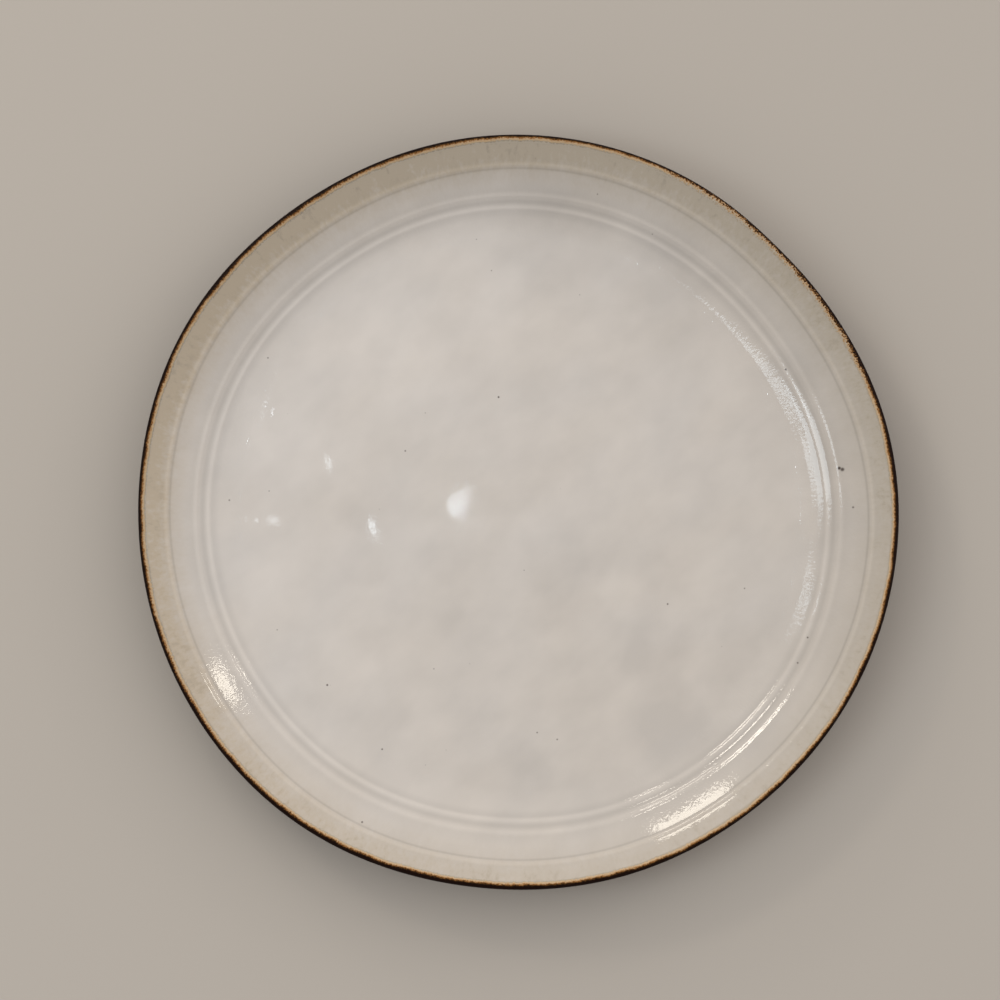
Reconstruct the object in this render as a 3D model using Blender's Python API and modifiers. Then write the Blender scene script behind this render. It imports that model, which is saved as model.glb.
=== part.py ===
"""Round stoneware coupe platter: a turned clay body and the glaze coats fused to it.

Units are metres, +Z is up, and the origin is the centre of the foot ring's resting plane.
Every piece is a half section in the XZ plane, turned about Z by a Screw modifier. The face
leaves the flat floor on a tight arc, goes on along a long gentle one, and ends in a half-round
lip. Every other surface of the wall follows the same arcs at another depth under the face.
"""

import math

import bpy

# Overall sizes
DIAMETER = 0.300          # over the lip
HEIGHT = 0.028            # resting plane to the top of the lip

# Section of the ware, glaze included
BASE_THICKNESS = 0.0064   # through the floor
LIP_THICKNESS = 0.0038    # through the wall at the lip
GLAZE = 0.0005            # thickness of each coat
GAP = 0.0003              # clearance kept between neighbouring solids

# Face of the wall
TURN_RADIUS = 0.032               # where the floor turns up
TURN_ANGLE = math.radians(29.0)   # slope that the turn reaches
WALL_RADIUS = 0.157               # of the gentle curve from there to the lip

# Foot ring
FOOT_DIAMETER = 0.190     # over its outer side
FOOT_WIDTH = 0.006
FOOT_HEIGHT = 0.003       # resting plane to the glazed underside
FOOT_CHAMFER = 0.0008

# Raised rings on the face, each set in from the outside of the lip
LIP_RING_INSET = 0.0115
DOUBLE_RING_INSET = 0.0253    # to the groove between its two ridges
DOUBLE_RING_SPACING = 0.0048  # ridge to ridge
RIDGE_HEIGHT = 0.0002
RIDGE_HALF_WIDTH = 0.0012
GROOVE_DEPTH = 0.0001

# Iron band: how far it runs on down each side of the wall from the half round of the lip
BAND_FACE_REACH = 0.0004
BAND_OUTER_REACH = 0.0030

# How finely the round shapes are cut
TURN_STEPS = 64
LIP_STEPS = 6
OUTER_STEPS = 6
HALVINGS = 40             # of the search for the wall's height over the foot

# Worked out from the sizes above
LIP_RADIUS = LIP_THICKNESS / 2
FLOOR_Z = FOOT_HEIGHT + BASE_THICKNESS
LIP_MIDDLE_R = DIAMETER / 2 - LIP_RADIUS
LIP_MIDDLE_Z = HEIGHT - LIP_RADIUS
TURN_RUN = TURN_RADIUS * math.sin(TURN_ANGLE)
TURN_RISE = TURN_RADIUS * (1 - math.cos(TURN_ANGLE))
WALL_CENTRE_Z = FLOOR_Z + TURN_RISE + WALL_RADIUS * math.cos(TURN_ANGLE)
LIP_ANGLE = math.acos((WALL_CENTRE_Z - LIP_MIDDLE_Z) / (WALL_RADIUS + LIP_RADIUS))
WALL_CENTRE_R = LIP_MIDDLE_R - (WALL_RADIUS + LIP_RADIUS) * math.sin(LIP_ANGLE)
TURN_END_R = WALL_CENTRE_R + WALL_RADIUS * math.sin(TURN_ANGLE)
FLOOR_RADIUS = TURN_END_R - TURN_RUN

COAT = GLAZE + GAP
FOOT_OUTER = FOOT_DIAMETER / 2
FOOT_INNER = FOOT_OUTER - FOOT_WIDTH


def wall_point(angle, depth):
    """Point of the section where the face slopes at angle, at depth square under the face."""
    if angle <= TURN_ANGLE:
        centre_r, centre_z, reach = FLOOR_RADIUS, FLOOR_Z + TURN_RADIUS, TURN_RADIUS + depth
    else:
        centre_r, centre_z, reach = WALL_CENTRE_R, WALL_CENTRE_Z, WALL_RADIUS + depth
    return (centre_r + reach * math.sin(angle), centre_z - reach * math.cos(angle))


def face_angle(radius):
    """Slope of the face at this radius of the wall."""
    if radius <= TURN_END_R:
        return math.asin((radius - FLOOR_RADIUS) / TURN_RADIUS)
    return math.asin((radius - WALL_CENTRE_R) / WALL_RADIUS)


def thickness(angle):
    """Thickness of the ware where the face slopes at angle: it thins evenly up to the lip."""
    top = wall_point(LIP_ANGLE, 0.0)[0]
    share = (wall_point(angle, 0.0)[0] - FLOOR_RADIUS) / (top - FLOOR_RADIUS)
    return BASE_THICKNESS + share * (LIP_THICKNESS - BASE_THICKNESS)


def face_stations():
    """(angle, relief) pairs up the face of the wall: its rings and plain stretches between."""
    lip_ring = DIAMETER / 2 - LIP_RING_INSET
    groove = DIAMETER / 2 - DOUBLE_RING_INSET
    outer_ridge = groove + DOUBLE_RING_SPACING / 2
    inner_ridge = groove - DOUBLE_RING_SPACING / 2
    rings_start = inner_ridge - RIDGE_HALF_WIDTH
    double_end = outer_ridge + RIDGE_HALF_WIDTH
    single_start = lip_ring - RIDGE_HALF_WIDTH
    rings_end = lip_ring + RIDGE_HALF_WIDTH
    top = wall_point(LIP_ANGLE, 0.0)[0]
    stations = [
        (FLOOR_RADIUS, 0.0),
        ((FLOOR_RADIUS + rings_start) / 2, 0.0),
        (rings_start, 0.0),
        (inner_ridge, RIDGE_HEIGHT),
        (groove, -GROOVE_DEPTH),
        (outer_ridge, RIDGE_HEIGHT),
        (double_end, 0.0),
        ((double_end + single_start) / 2, 0.0),
        (single_start, 0.0),
        (lip_ring, RIDGE_HEIGHT),
        (rings_end, 0.0),
        ((rings_end + top) / 2, 0.0),
    ]
    return [(face_angle(radius), relief) for radius, relief in stations]


def face_line(depth, last_angle):
    """The section's face line from the axis up to last_angle, at depth under the glaze's face."""
    points = [(0.0, FLOOR_Z - depth)]
    for angle, relief in face_stations():
        if angle < last_angle:
            points.append(wall_point(angle, depth - relief))
    points.append(wall_point(last_angle, depth))
    return points


def lip_arc(radius):
    """Half round over the lip, from the face side to the outside."""
    points = []
    for step in range(LIP_STEPS + 1):
        turn = LIP_ANGLE + math.pi / 2 - math.pi * step / LIP_STEPS
        points.append((LIP_MIDDLE_R + radius * math.cos(turn), LIP_MIDDLE_Z + radius * math.sin(turn)))
    return points


def outer_point(angle, lift):
    """Point of the outside of the wall, lift inside the glaze's outer surface."""
    return wall_point(angle, thickness(angle) - lift)


def outer_stations():
    """Slopes down the outside, from the edge of the iron band to the floor."""
    top = wall_point(band_angle(BAND_OUTER_REACH), 0.0)[0]
    step = (top - FLOOR_RADIUS) / OUTER_STEPS
    return [face_angle(FLOOR_RADIUS + index * step) for index in range(OUTER_STEPS, -1, -1)]


def outer_line(lift, first_angle, foot_side):
    """The outside from first_angle down the wall and in along the base to the foot's outer side."""
    points = [outer_point(first_angle, lift)]
    for angle in outer_stations():
        point = outer_point(angle, lift)
        if angle < first_angle and point[0] > foot_side:
            points.append(point)
    points.append((foot_side, outer_height(foot_side, lift)))
    return points


def outer_height(radius, lift):
    """Height of the outside line at a radius: the level base, or the wall where it has turned up."""
    if radius <= FLOOR_RADIUS:
        return FOOT_HEIGHT + lift
    low, high = 0.0, LIP_ANGLE
    for _ in range(HALVINGS):
        angle = (low + high) / 2
        if outer_point(angle, lift)[0] < radius:
            low = angle
        else:
            high = angle
    return outer_point(low, lift)[1]


def band_angle(reach):
    """Slope of the face this far below the half round of the lip."""
    return LIP_ANGLE - reach / WALL_RADIUS


def clay_section():
    """Face, lip, outside and foot ring of the fired body, from axis to axis."""
    inner_base = FOOT_HEIGHT + COAT
    return (
        face_line(COAT, LIP_ANGLE)[:-1]
        + lip_arc(LIP_RADIUS - COAT)
        + outer_line(COAT, LIP_ANGLE, FOOT_OUTER)[1:]
        + [
            (FOOT_OUTER, FOOT_CHAMFER),
            (FOOT_OUTER - FOOT_CHAMFER, 0.0),
            (FOOT_INNER + FOOT_CHAMFER, 0.0),
            (FOOT_INNER, FOOT_CHAMFER),
            (FOOT_INNER, inner_base),
            (0.0, inner_base),
        ]
    )


def face_glaze_section():
    """Coat over the face, from the axis up to the edge of the iron band."""
    edge = band_angle(BAND_FACE_REACH + GAP)
    top = face_line(0.0, edge)
    under = face_line(GLAZE, edge)
    return top + under[::-1]


def rim_band_section():
    """Closed loop of the band: outside of the lip, then back along the clay's side of the coat."""
    face_edge = band_angle(BAND_FACE_REACH)
    outer_edge = band_angle(BAND_OUTER_REACH)
    outside = [wall_point(face_edge, 0.0)] + lip_arc(LIP_RADIUS)
    outside.append(outer_point(outer_edge, 0.0))
    inside = [outer_point(outer_edge, GLAZE)]
    inside += lip_arc(LIP_RADIUS - GLAZE)[::-1]
    inside.append(wall_point(face_edge, GLAZE))
    return outside + inside


def outer_glaze_section():
    """Closed loop of the coat outside, from the iron band to the foot ring."""
    edge = band_angle(BAND_OUTER_REACH + GAP)
    foot_side = FOOT_OUTER + GAP
    outside = outer_line(0.0, edge, foot_side)
    inside = outer_line(GLAZE, edge, foot_side)
    return outside + inside[::-1]


def base_glaze_section():
    """Disc of glaze inside the foot ring."""
    side = FOOT_INNER - GAP
    top = FOOT_HEIGHT + GLAZE
    return [(0.0, top), (side, top), (side, FOOT_HEIGHT), (0.0, FOOT_HEIGHT)]


def make_material(name, colour, roughness):
    """Plain ceramic finish."""
    material = bpy.data.materials.new(name)
    material.use_nodes = True
    shader = material.node_tree.nodes["Principled BSDF"]
    shader.inputs["Base Color"].default_value = (*colour, 1.0)
    shader.inputs["Roughness"].default_value = roughness
    shader.inputs["Metallic"].default_value = 0.0
    return material


def turn_piece(name, section, closed, material, collection):
    """Turn a half section about Z into one closed solid. The section runs down its outer side."""
    edges = [(index, index + 1) for index in range(len(section) - 1)]
    if closed:
        edges.append((len(section) - 1, 0))
    mesh = bpy.data.meshes.new(name)
    mesh.from_pydata([(radius, 0.0, height) for radius, height in section], edges, [])
    mesh.materials.append(material)
    piece = bpy.data.objects.new(name, mesh)
    collection.objects.link(piece)

    screw = piece.modifiers.new("Turn", "SCREW")
    screw.axis = "Z"
    screw.angle = 2 * math.pi
    screw.steps = TURN_STEPS
    screw.render_steps = TURN_STEPS
    screw.use_merge_vertices = True
    screw.merge_threshold = 0.00001
    screw.use_smooth_shade = True
    return piece


def clear_scene():
    """Remove whatever the file opened with."""
    for item in list(bpy.data.objects):
        bpy.data.objects.remove(item, do_unlink=True)


def build_platter():
    """Make every piece of the platter in its own collection."""
    platter = bpy.data.collections.new("serving_platter")
    bpy.context.scene.collection.children.link(platter)

    bare_clay = make_material("bare_stoneware", (0.34, 0.25, 0.17), 0.85)
    pale_glaze = make_material("pale_grey_glaze", (0.57, 0.53, 0.47), 0.12)
    band_glaze = make_material("iron_band", (0.06, 0.03, 0.015), 0.30)
    brown_glaze = make_material("brown_glaze", (0.07, 0.04, 0.025), 0.25)

    turn_piece("clay_body", clay_section(), False, bare_clay, platter)
    turn_piece("face_glaze", face_glaze_section(), False, pale_glaze, platter)
    turn_piece("rim_band", rim_band_section(), True, band_glaze, platter)
    turn_piece("outer_glaze", outer_glaze_section(), True, brown_glaze, platter)
    turn_piece("base_glaze", base_glaze_section(), False, brown_glaze, platter)


clear_scene()
build_platter()
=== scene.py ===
"""Round stoneware serving platter: a turned clay body, the glaze coats fused to it, and a plain stage.

Sizes are in metres and +Z is up. Each piece is a half section drawn in the XZ plane and spun about Z,
then bent a little out of true, as a hand-turned platter is. Every piece is bent by the same lattice, so
the coats stay fused to the clay and to each other.
"""

import math

import bpy
from bpy.props import FloatProperty, FloatVectorProperty, PointerProperty
from mathutils import Matrix, Vector


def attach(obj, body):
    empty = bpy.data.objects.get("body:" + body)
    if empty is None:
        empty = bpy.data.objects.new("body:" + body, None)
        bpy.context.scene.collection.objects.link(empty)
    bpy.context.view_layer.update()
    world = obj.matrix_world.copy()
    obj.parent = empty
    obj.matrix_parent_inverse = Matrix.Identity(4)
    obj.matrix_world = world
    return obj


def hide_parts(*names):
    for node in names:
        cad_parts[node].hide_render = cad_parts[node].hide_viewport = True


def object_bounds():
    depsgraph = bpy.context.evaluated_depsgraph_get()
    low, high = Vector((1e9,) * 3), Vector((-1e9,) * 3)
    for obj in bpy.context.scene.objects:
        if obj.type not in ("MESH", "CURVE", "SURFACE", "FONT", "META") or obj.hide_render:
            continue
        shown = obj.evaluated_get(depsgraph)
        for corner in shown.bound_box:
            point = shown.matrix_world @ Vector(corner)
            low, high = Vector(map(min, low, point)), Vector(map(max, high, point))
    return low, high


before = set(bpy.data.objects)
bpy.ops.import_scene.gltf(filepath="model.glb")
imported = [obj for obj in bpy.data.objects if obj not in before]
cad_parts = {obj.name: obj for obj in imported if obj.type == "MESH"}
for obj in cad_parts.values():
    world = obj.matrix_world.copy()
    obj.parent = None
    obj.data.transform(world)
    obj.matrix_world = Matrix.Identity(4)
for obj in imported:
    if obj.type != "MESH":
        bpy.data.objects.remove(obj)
CAD_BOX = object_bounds()

bl_info = {
    "name": "Round Stoneware Platter",
    "version": (1, 0, 0),
    "blender": (4, 5, 0),
    "location": "3D View > Sidebar > Platter",
    "description": "Turns a glazed stoneware platter coat by coat and sets it on a plain stage",
    "category": "Add Mesh",
}

MM = 0.001
TURNS = 360                 # steps round the platter
JOIN = 1e-6                 # points closer than this are one point
UNDER_COAT = 0.02 * MM      # how far a coat's hidden side stays off the clay
PLAIN_STEP = 2.5 * MM       # spacing of points along the clay and the hidden sides
BAND_ON_FACE = 0.4 * MM     # how far the iron band reaches past the lip on the face
BAND_OUTSIDE = 3.0 * MM     # and outside
ROLL = 0.8 * MM             # radius of the glaze's rolled edge at the foot ring
FLOOR_SWELL = 0.12          # share of the wall's unevenness that the floor has
FLOOR_EDGE = (70 * MM, 112 * MM)    # between these radii the floor's share rises to the wall's
NOISE_SPAN = (0.3, 0.7)     # a noise texture seldom leaves this span
NOISE_RING = 145.0          # radius in mm of the ring along which noise for streaks is read
LAID = "laid"               # attribute: where the glaze was laid on the true-turned shape, in mm

CAD_DIAMETER = round(CAD_BOX[1][0] - CAD_BOX[0][0], 5)
CAD_HEIGHT = round(CAD_BOX[1][2] - CAD_BOX[0][2], 5)


class PlatterSizes(bpy.types.PropertyGroup):
    """Sizes of the platter."""

    diameter: FloatProperty(
        name="Diameter", description="Width over the lip", default=CAD_DIAMETER, unit="LENGTH")
    height: FloatProperty(
        name="Height", description="Resting plane to the top of the lip", default=CAD_HEIGHT,
        unit="LENGTH")
    base_thickness: FloatProperty(
        name="Base thickness", description="Through the floor, glaze included", default=6.4 * MM,
        unit="LENGTH")
    lip_thickness: FloatProperty(
        name="Lip thickness", description="Through the wall at the lip", default=3.8 * MM, unit="LENGTH")
    coat: FloatProperty(
        name="Glaze coat", description="Thickness of each coat of glaze", default=0.8 * MM, unit="LENGTH")
    turn_radius: FloatProperty(
        name="Turn radius", description="Arc where the floor turns up", default=32 * MM, unit="LENGTH")
    turn_angle: FloatProperty(
        name="Turn angle", description="Slope that the turn reaches", default=math.radians(29),
        subtype="ANGLE")
    wall_radius: FloatProperty(
        name="Wall radius", description="Gentle arc from the turn to the lip", default=157 * MM,
        unit="LENGTH")
    foot_diameter: FloatProperty(
        name="Foot diameter", description="Over the foot ring", default=190 * MM, unit="LENGTH")
    foot_width: FloatProperty(
        name="Foot width", description="Width of the foot ring", default=6 * MM, unit="LENGTH")
    foot_height: FloatProperty(
        name="Foot height", description="Resting plane to the glazed underside", default=3 * MM,
        unit="LENGTH")
    lip_ring_inset: FloatProperty(
        name="Lip ring inset", description="Lip to the single raised ring", default=11.5 * MM,
        unit="LENGTH")
    double_ring_inset: FloatProperty(
        name="Double ring inset", description="Lip to the groove of the double ring",
        default=25.3 * MM, unit="LENGTH")
    double_ring_spacing: FloatProperty(
        name="Double ring spacing", description="Ridge to ridge", default=4.8 * MM, unit="LENGTH")
    ridge_height: FloatProperty(
        name="Ridge height", description="Height of each raised ring", default=0.16 * MM, unit="LENGTH")
    wander: FloatProperty(
        name="Hand wander", description="How far out of true the platter is", default=1.0,
        min=0.0, subtype="FACTOR", soft_max=2.0)


class PlatterColours(bpy.types.PropertyGroup):
    """Colours of the finishes."""

    pale: FloatVectorProperty(
        name="Pale glaze", description="Glaze on the floor of the platter",
        default=(0.573, 0.516, 0.469), subtype="COLOR")
    rim_tint: FloatVectorProperty(
        name="Thin glaze", description="Pale glaze where it thins towards the lip",
        default=(0.440, 0.376, 0.298), subtype="COLOR")
    gold: FloatVectorProperty(
        name="Broken iron", description="Iron glaze where it breaks on the lip",
        default=(0.47, 0.325, 0.19), subtype="COLOR")
    amber: FloatVectorProperty(
        name="Amber iron", description="Iron glaze between broken and thick",
        default=(0.20, 0.085, 0.022), subtype="COLOR")
    iron: FloatVectorProperty(
        name="Thick iron", description="Iron glaze where it is thick",
        default=(0.009, 0.0024, 0.0009), subtype="COLOR")
    brown: FloatVectorProperty(
        name="Brown glaze", description="Glaze on the outside and underside",
        default=(0.060, 0.030, 0.016), subtype="COLOR")
    clay: FloatVectorProperty(
        name="Bare clay", description="Fired clay of the foot ring",
        default=(0.34, 0.25, 0.17), subtype="COLOR")


class StageSettings(bpy.types.PropertyGroup):
    """The floor, the light and the camera."""

    floor: FloatVectorProperty(
        name="Floor", description="Colour of the floor", default=(0.47, 0.42, 0.37), subtype="COLOR")
    floor_radius: FloatProperty(
        name="Floor radius", description="Size of the floor", default=12.0, unit="LENGTH")
    room_light: FloatProperty(
        name="Room light", description="Strength of the soft light from all round", default=1.02)
    window_light: FloatProperty(
        name="Window light", description="Strength of the lights that glint", default=1.0)
    camera_distance: FloatProperty(
        name="Camera distance", description="Camera to the lip", default=1.98, unit="LENGTH")
    camera_tilt: FloatProperty(
        name="Camera tilt", description="Camera's angle off the platter's axis",
        default=math.radians(3.2), subtype="ANGLE")


# ---------------------------------------------------------------- half section of the platter


class Section:
    """The platter's half section, worked out from its sizes."""

    def __init__(self, sizes):
        self.sizes = sizes
        self.rim = sizes.diameter / 2
        self.lip_radius = sizes.lip_thickness / 2
        self.floor_z = sizes.foot_height + sizes.base_thickness
        self.lip_r = self.rim - self.lip_radius
        self.lip_z = sizes.height - self.lip_radius
        run = sizes.turn_radius * math.sin(sizes.turn_angle)
        rise = sizes.turn_radius * (1 - math.cos(sizes.turn_angle))
        self.wall_centre_z = self.floor_z + rise + sizes.wall_radius * math.cos(sizes.turn_angle)
        reach = sizes.wall_radius + self.lip_radius
        self.lip_angle = math.acos((self.wall_centre_z - self.lip_z) / reach)
        self.wall_centre_r = self.lip_r - reach * math.sin(self.lip_angle)
        self.turn_end_r = self.wall_centre_r + sizes.wall_radius * math.sin(sizes.turn_angle)
        self.floor_radius = self.turn_end_r - run
        self.foot_outer = sizes.foot_diameter / 2
        self.foot_inner = self.foot_outer - sizes.foot_width
        self.face_edge = self.lip_angle - BAND_ON_FACE / sizes.wall_radius
        self.outer_edge = self.lip_angle - BAND_OUTSIDE / sizes.wall_radius

    def point(self, angle, depth):
        """Point where the face slopes at angle, at depth square under the face."""
        sizes = self.sizes
        if angle <= sizes.turn_angle:
            centre_r, centre_z = self.floor_radius, self.floor_z + sizes.turn_radius
            reach = sizes.turn_radius + depth
        else:
            centre_r, centre_z = self.wall_centre_r, self.wall_centre_z
            reach = sizes.wall_radius + depth
        return (centre_r + reach * math.sin(angle), centre_z - reach * math.cos(angle))

    def angle_at(self, radius):
        """Slope of the face at this radius of the wall."""
        if radius <= self.turn_end_r:
            return math.asin(max(0.0, radius - self.floor_radius) / self.sizes.turn_radius)
        return math.asin((radius - self.wall_centre_r) / self.sizes.wall_radius)

    def thickness(self, angle):
        """Thickness of the ware where the face slopes at angle: it thins evenly up to the lip."""
        top = self.point(self.lip_angle, 0.0)[0]
        share = (self.point(angle, 0.0)[0] - self.floor_radius) / (top - self.floor_radius)
        return self.sizes.base_thickness + share * (self.sizes.lip_thickness - self.sizes.base_thickness)

    def relief(self, radius):
        """Height of the raised rings over the plain face at this radius."""
        sizes = self.sizes
        groove = self.rim - sizes.double_ring_inset
        ridges = (
            groove - sizes.double_ring_spacing / 2,
            groove + sizes.double_ring_spacing / 2,
            self.rim - sizes.lip_ring_inset,
        )
        height = -0.35 * sizes.ridge_height * hump(radius - groove, 1.1 * MM, 1.1 * MM)
        for ridge in ridges:
            height += sizes.ridge_height * hump(radius - ridge, 0.95 * MM, 1.7 * MM)
        return height

    def wall_angles(self, step, last):
        """Slopes up the wall from the floor to the slope called last, a step of radius apart."""
        top = self.point(last, 0.0)[0]
        count = max(2, round((top - self.floor_radius) / step))
        radii = [self.floor_radius + (top - self.floor_radius) * n / count for n in range(1, count)]
        return [self.angle_at(radius) for radius in radii] + [last]

    def lip_arc(self, radius, steps):
        """Half round over the lip, from the face side to the outside."""
        start = math.degrees(self.lip_angle) + 90
        return arc((self.lip_r, self.lip_z), radius, start, start - 180, steps)

    def outside(self, lift, first, step, foot_side):
        """The outside from the slope called first, down the wall and in to the foot ring."""
        points = []
        for angle in reversed(self.wall_angles(step, first)):
            point = self.point(angle, self.thickness(angle) - lift - turning_line(angle))
            if point[0] > self.floor_radius:
                points.append(point)
        low = self.sizes.foot_height + lift
        count = max(2, round((self.floor_radius - foot_side) / step))
        for n in range(count + 1):
            points.append((self.floor_radius + (foot_side - self.floor_radius) * n / count, low))
        return points

    def laid(self, radius, height):
        """Distance in mm along the glaze from the crest of the lip: below zero on the face."""
        turn = math.atan2(height - self.lip_z, radius - self.lip_r)
        if abs(turn - self.lip_angle) <= math.pi / 2:
            return (math.pi / 2 - turn) * self.lip_radius / MM
        face_r, face_z = self.point(self.lip_angle, 0.0)
        down_face = math.hypot(radius - face_r, height - face_z)
        outer_r, outer_z = self.point(self.lip_angle, self.sizes.lip_thickness)
        down_outside = math.hypot(radius - outer_r, height - outer_z)
        if down_face <= down_outside:
            return -(self.lip_angle * self.lip_radius + down_face) / MM
        return ((math.pi - self.lip_angle) * self.lip_radius + down_outside) / MM


def hump(offset, inner_half, outer_half):
    """Smooth ridge of height 1, with its own width on each side."""
    half = inner_half if offset < 0 else outer_half
    if abs(offset) >= half:
        return 0.0
    return 0.5 + 0.5 * math.cos(math.pi * offset / half)


def turning_line(angle):
    """Faint ribs that the turning tool leaves round the outside of the wall."""
    return 0.05 * MM * math.sin(angle * 75) + 0.03 * MM * math.sin(angle * 131 + 1.0)


def arc(centre, radius, start, end, steps):
    """Points along an arc in the section, between two angles in degrees."""
    points = []
    for step in range(steps + 1):
        turn = math.radians(start + (end - start) * step / steps)
        points.append((centre[0] + radius * math.cos(turn), centre[1] + radius * math.sin(turn)))
    return points


def clay_section(section):
    """Face, lip, outside and foot ring of the fired body, from axis to axis."""
    sizes = section.sizes
    coat = sizes.coat
    face = [(0.0, section.floor_z - coat), (section.floor_radius, section.floor_z - coat)]
    face += [section.point(angle, coat) for angle in section.wall_angles(PLAIN_STEP, section.lip_angle)]
    outside = section.outside(coat, section.lip_angle, PLAIN_STEP, section.foot_outer)
    round_off = 0.9 * MM
    foot = [(section.foot_outer, sizes.foot_height - ROLL)]
    foot += arc((section.foot_outer - round_off, round_off), round_off, 0, -90, 8)
    foot += [(section.foot_outer - sizes.foot_width / 2, 0.0)]
    foot += arc((section.foot_inner + round_off, round_off), round_off, -90, -180, 8)
    foot += [(section.foot_inner, sizes.foot_height - ROLL)]
    inner_base = sizes.foot_height + coat
    return (
        face[:-1] + section.lip_arc(section.lip_radius - coat, 8) + outside[1:] + foot
        + [(section.foot_inner, inner_base), (0.0, inner_base)]
    )


def face_glaze_section(section):
    """Coat over the face, from the axis up to the edge of the iron band."""
    depth = section.sizes.coat - UNDER_COAT
    rings = 62
    top = [(section.floor_radius * n / rings, section.floor_z) for n in range(rings + 1)]
    for angle in section.wall_angles(0.45 * MM, section.face_edge):
        radius = section.point(angle, 0.0)[0]
        top.append(section.point(angle, -section.relief(radius)))
    under = [(0.0, section.floor_z - depth), (section.floor_radius, section.floor_z - depth)]
    under += [section.point(angle, depth) for angle in section.wall_angles(PLAIN_STEP, section.face_edge)]
    return top + under[::-1]


def rim_band_section(section):
    """Closed loop of the iron band over the lip, outside first, then back along the clay."""
    depth = section.sizes.coat - UNDER_COAT
    outer = section.point(section.outer_edge, section.thickness(section.outer_edge))
    under = section.point(section.outer_edge, section.thickness(section.outer_edge) - depth)
    start = section.point(section.face_edge, 0.0)
    lip = section.lip_arc(section.lip_radius, 26)
    down = [between(lip[-1], outer, share) for share in (0.25, 0.5, 0.75, 1.0)]
    inside = [under] + section.lip_arc(section.lip_radius - depth, 12)[::-1]
    inside.append(section.point(section.face_edge, depth))
    return [start] + lip + down + inside + [start]


def outer_glaze_section(section):
    """Closed loop of the coat outside, from the iron band to its rolled edge at the foot ring."""
    sizes = section.sizes
    depth = sizes.coat - UNDER_COAT
    outside = section.outside(0.0, section.outer_edge, 0.9 * MM, section.foot_outer + ROLL)
    outside[0] = section.point(section.outer_edge, section.thickness(section.outer_edge))
    corner = (section.foot_outer + ROLL, sizes.foot_height - ROLL)
    roll = arc(corner, ROLL, 90, 180, 6)[1:]
    inside = section.outside(depth, section.outer_edge, PLAIN_STEP, section.foot_outer)
    inside[0] = section.point(section.outer_edge, section.thickness(section.outer_edge) - depth)
    return outside + roll + inside[::-1] + [outside[0]]


def base_glaze_section(section):
    """Disc of glaze inside the foot ring, with faint turning rings and a rolled edge."""
    sizes = section.sizes
    side = section.foot_inner
    top = sizes.foot_height + sizes.coat - UNDER_COAT
    rings = 90
    under = []
    for n in range(rings + 1):
        radius = (side - ROLL) * (1 - n / rings)
        fade = min(1.0, n / 6)
        rib = 0.05 * MM * math.sin(radius / MM * 0.9) + 0.03 * MM * math.sin(radius / MM * 0.37 + 2)
        navel = 0.35 * MM * math.exp(-((radius / (5 * MM)) ** 2))
        under.append((radius, sizes.foot_height + fade * (rib + 0.05 * MM) - navel))
    roll = arc((side - ROLL, sizes.foot_height - ROLL), ROLL, 0, 90, 6)[:-1]
    return [(0.0, top), (side, top)] + roll + under


def between(start, end, share):
    """Point a share of the way from start to end."""
    return (start[0] + (end[0] - start[0]) * share, start[1] + (end[1] - start[1]) * share)


# ---------------------------------------------------------------- modelling


def deselect_all():
    """Leave nothing selected and nothing in edit mode."""
    if bpy.context.object and bpy.context.object.mode != "OBJECT":
        bpy.ops.object.mode_set(mode="OBJECT")
    bpy.ops.object.select_all(action="DESELECT")


def pick(piece):
    """Select one piece and make it active."""
    deselect_all()
    piece.select_set(True)
    bpy.context.view_layer.objects.active = piece


def draw_section(name, points):
    """One point extruded along the section, step by step."""
    deselect_all()
    first = points[0]
    bpy.ops.mesh.primitive_plane_add(size=MM, location=(first[0], 0.0, first[1]))
    piece = bpy.context.object
    piece.name = name
    piece.data.name = name
    bpy.ops.object.transform_apply(location=True, rotation=True, scale=True)
    bpy.ops.object.mode_set(mode="EDIT")
    bpy.ops.mesh.select_all(action="SELECT")
    bpy.ops.mesh.merge(type="CENTER")
    for start, end in zip(points, points[1:]):
        step = (end[0] - start[0], 0.0, end[1] - start[1])
        bpy.ops.mesh.extrude_region_move(TRANSFORM_OT_translate={"value": step})
    bpy.ops.object.mode_set(mode="OBJECT")
    return piece


def spin_piece(name, points):
    """Draw a half section and spin it about Z into one closed skin, facing outwards."""
    piece = draw_section(name, points)
    bpy.ops.object.mode_set(mode="EDIT")
    bpy.ops.mesh.select_all(action="SELECT")
    bpy.ops.mesh.spin(steps=TURNS, angle=2 * math.pi, center=(0, 0, 0), axis=(0, 0, 1))
    bpy.ops.mesh.select_all(action="SELECT")
    bpy.ops.mesh.remove_doubles(threshold=JOIN)
    bpy.ops.mesh.normals_make_consistent(inside=False)
    bpy.ops.object.mode_set(mode="OBJECT")
    bpy.ops.object.shade_smooth_by_angle(angle=math.radians(35))
    return piece


def note_where_laid(piece, section):
    """Keep each point's true-turned place, so that the finish follows the bent shape."""
    attribute = piece.data.attributes.new(LAID, "FLOAT_VECTOR", "POINT")
    for vertex, entry in zip(piece.data.vertices, attribute.data):
        x, y, z = vertex.co
        entry.vector = (x / MM, y / MM, section.laid(math.hypot(x, y), z))


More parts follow.
